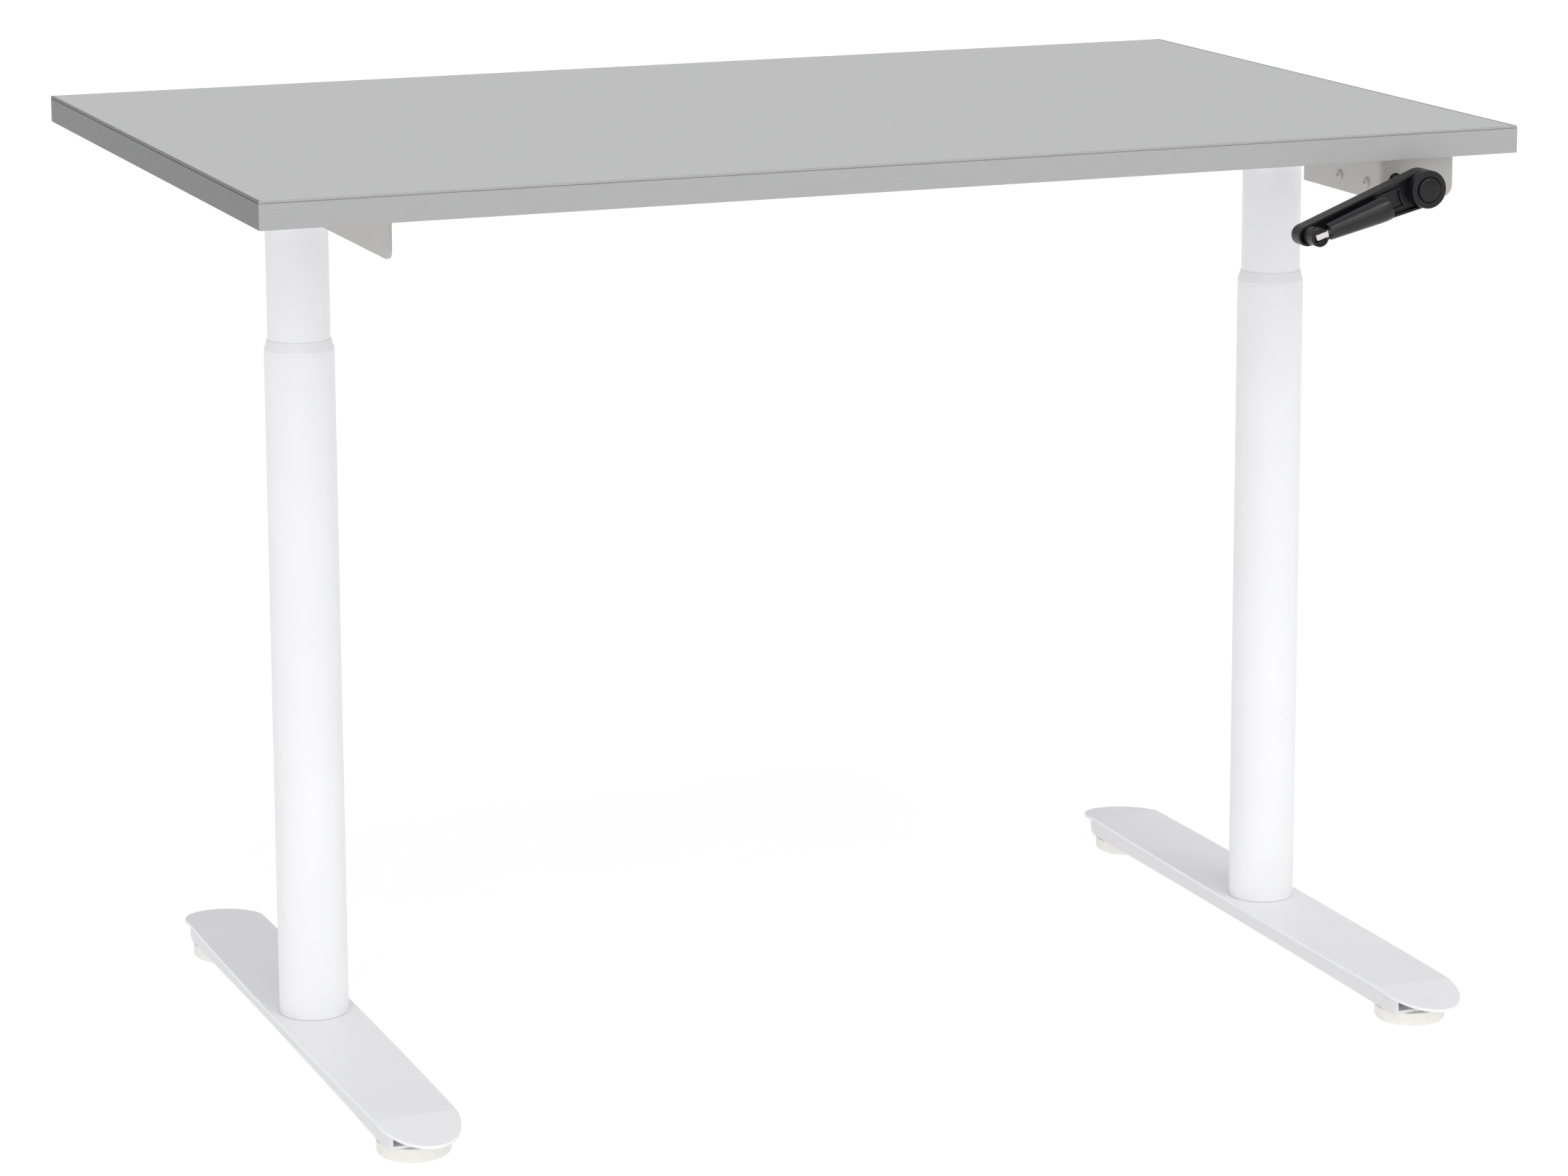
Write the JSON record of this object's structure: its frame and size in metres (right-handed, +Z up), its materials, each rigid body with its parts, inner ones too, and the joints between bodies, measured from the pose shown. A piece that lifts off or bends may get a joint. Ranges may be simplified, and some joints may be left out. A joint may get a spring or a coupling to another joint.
{
  "type": "height adjustable desk",
  "caption": "Height adjustable desk: rectangular laminate top on telescopic round legs with flat boat-shaped feet, raised by a folding hand crank at its front edge.",
  "frame": {"origin": "on the floor, under the centre of the bounding box at the drawn height", "axes": "+Z up, +X to the right along the working edge as a seated person sees it, -Y towards that person"},
  "size_m": [1.2, 0.79, 0.865],
  "materials": {
    "white_steel": "white powder coat, satin",
    "laminate_board": "light grey melamine on chipboard, fine matt grain",
    "edge_banding": "light grey ABS edge banding, satin",
    "black_plastic": "black moulded plastic, semi-gloss",
    "cream_plastic": "off-white moulded plastic",
    "white_plastic": "white moulded plastic",
    "plain_steel": "zinc plated steel",
    "cast_metal": "die-cast, as cast"
  },
  "bodies": {
    "base": {"foot_plate_left": "white_steel", "foot_channel_left": "white_steel", "leg_bolt_left": "plain_steel", "outer_tube_left": "white_steel", "collar_left": "white_plastic", "nut_tube_left": "plain_steel", "spindle_nut_left": "white_plastic", "foot_plate_right": "white_steel", "foot_channel_right": "white_steel", "leg_bolt_right": "plain_steel", "outer_tube_right": "white_steel", "collar_right": "white_plastic", "nut_tube_right": "plain_steel", "spindle_nut_right": "white_plastic"},
    "lift": {"inner_tube_left": "white_steel", "guide_bush_left": "white_plastic", "head_plate_left": "white_steel", "gearbox_left": "cast_metal", "side_arm_left": "white_steel", "top_screw_left_front": "plain_steel", "top_screw_left_rear": "plain_steel", "beam_end_left": "white_steel", "inner_tube_right": "white_steel", "guide_bush_right": "white_plastic", "head_plate_right": "white_steel", "gearbox_right": "cast_metal", "side_arm_right": "white_steel", "top_screw_right_front": "plain_steel", "top_screw_right_rear": "plain_steel", "beam_end_right": "white_steel", "table_panel": "laminate_board", "edge_band_front": "edge_banding", "edge_band_rear": "edge_banding", "edge_band_left": "edge_banding", "edge_band_right": "edge_banding", "crossbeam": "white_steel", "crank_bracket": "white_steel", "shaft_bearing": "black_plastic", "bearing_screw_front": "white_steel", "bearing_screw_rear": "white_steel"},
    "drive": {"cross_rod": "plain_steel", "rod_bevel_left": "plain_steel", "rod_bevel_right": "plain_steel", "rod_bevel_crank": "plain_steel"},
    "crank": {"crank_shaft": "plain_steel", "crank_arm": "black_plastic", "hub_cap": "black_plastic", "fold_pin": "plain_steel"},
    "handle": {"grip_spindle": "plain_steel"},
    "grip": {"grip_sleeve": "black_plastic"},
    "spindle_left": {"spindle_left": "plain_steel"},
    "pad_left_front": {"level_pad_left_front": "cream_plastic"},
    "stud_left_front": {"level_stud_left_front": "plain_steel"},
    "pad_left_rear": {"level_pad_left_rear": "cream_plastic"},
    "stud_left_rear": {"level_stud_left_rear": "plain_steel"},
    "spindle_right": {"spindle_right": "plain_steel"},
    "pad_right_front": {"level_pad_right_front": "cream_plastic"},
    "stud_right_front": {"level_stud_right_front": "plain_steel"},
    "pad_right_rear": {"level_pad_right_rear": "cream_plastic"},
    "stud_right_rear": {"level_stud_right_rear": "plain_steel"}
  },
  "joints": [
    {"name": "lift", "type": "slide", "parent": "base", "child": "lift", "axis": [0, 0, 1], "range_m": [-0.104, 0.32]},
    {"name": "crank_turn", "type": "hinge", "parent": "lift", "child": "crank", "pos_m": [0.494, -0.2, 0.815], "axis": [0, 1, 0], "range_deg": [-4680, 14400]},
    {"name": "cross_rod_turn", "type": "hinge", "parent": "lift", "child": "drive", "pos_m": [0, 0.005, 0.815], "axis": [1, 0, 0], "range_deg": [-14400, 4680]},
    {"name": "spindle_left_turn", "type": "hinge", "parent": "lift", "child": "spindle_left", "pos_m": [-0.466, 0.005, 0.5], "axis": [0, 0, 1], "range_deg": [-4680, 14400]},
    {"name": "spindle_right_turn", "type": "hinge", "parent": "lift", "child": "spindle_right", "pos_m": [0.534, 0.005, 0.5], "axis": [0, 0, 1], "range_deg": [-4680, 14400]},
    {"name": "handle_fold", "type": "hinge", "parent": "crank", "child": "handle", "pos_m": [0.37847, -0.3836, 0.77902], "axis": [0.2974, 0, -0.9548], "range_deg": [0, 90]},
    {"name": "grip_spin", "type": "hinge", "parent": "handle", "child": "grip", "pos_m": [0.37847, -0.3836, 0.77902], "axis": [0.9548, 0, 0.2974], "continuous": true},
    {"name": "level_left_front", "type": "slide", "parent": "base", "child": "pad_left_front", "axis": [0, 0, 1], "range_m": [-0.009, 0]},
    {"name": "stud_left_front_turn", "type": "hinge", "parent": "pad_left_front", "child": "stud_left_front", "pos_m": [-0.466, -0.307, 0.02], "axis": [0, 0, 1], "range_deg": [-2160, 0]},
    {"name": "level_left_rear", "type": "slide", "parent": "base", "child": "pad_left_rear", "axis": [0, 0, 1], "range_m": [-0.009, 0]},
    {"name": "stud_left_rear_turn", "type": "hinge", "parent": "pad_left_rear", "child": "stud_left_rear", "pos_m": [-0.466, 0.317, 0.02], "axis": [0, 0, 1], "range_deg": [-2160, 0]},
    {"name": "level_right_front", "type": "slide", "parent": "base", "child": "pad_right_front", "axis": [0, 0, 1], "range_m": [-0.009, 0]},
    {"name": "stud_right_front_turn", "type": "hinge", "parent": "pad_right_front", "child": "stud_right_front", "pos_m": [0.534, -0.307, 0.02], "axis": [0, 0, 1], "range_deg": [-2160, 0]},
    {"name": "level_right_rear", "type": "slide", "parent": "base", "child": "pad_right_rear", "axis": [0, 0, 1], "range_m": [-0.009, 0]},
    {"name": "stud_right_rear_turn", "type": "hinge", "parent": "pad_right_rear", "child": "stud_right_rear", "pos_m": [0.534, 0.317, 0.02], "axis": [0, 0, 1], "range_deg": [-2160, 0]}
  ],
  "couplings": [
    {"joint": "crank_turn", "follows": "lift", "rad_per_m": 785.4},
    {"joint": "cross_rod_turn", "follows": "lift", "rad_per_m": -785.4},
    {"joint": "spindle_left_turn", "follows": "lift", "rad_per_m": 785.4},
    {"joint": "spindle_right_turn", "follows": "lift", "rad_per_m": 785.4},
    {"joint": "stud_left_front_turn", "follows": "level_left_front", "rad_per_m": 4188.8},
    {"joint": "stud_left_rear_turn", "follows": "level_left_rear", "rad_per_m": 4188.8},
    {"joint": "stud_right_front_turn", "follows": "level_right_front", "rad_per_m": 4188.8},
    {"joint": "stud_right_rear_turn", "follows": "level_right_rear", "rad_per_m": 4188.8}
  ]
}
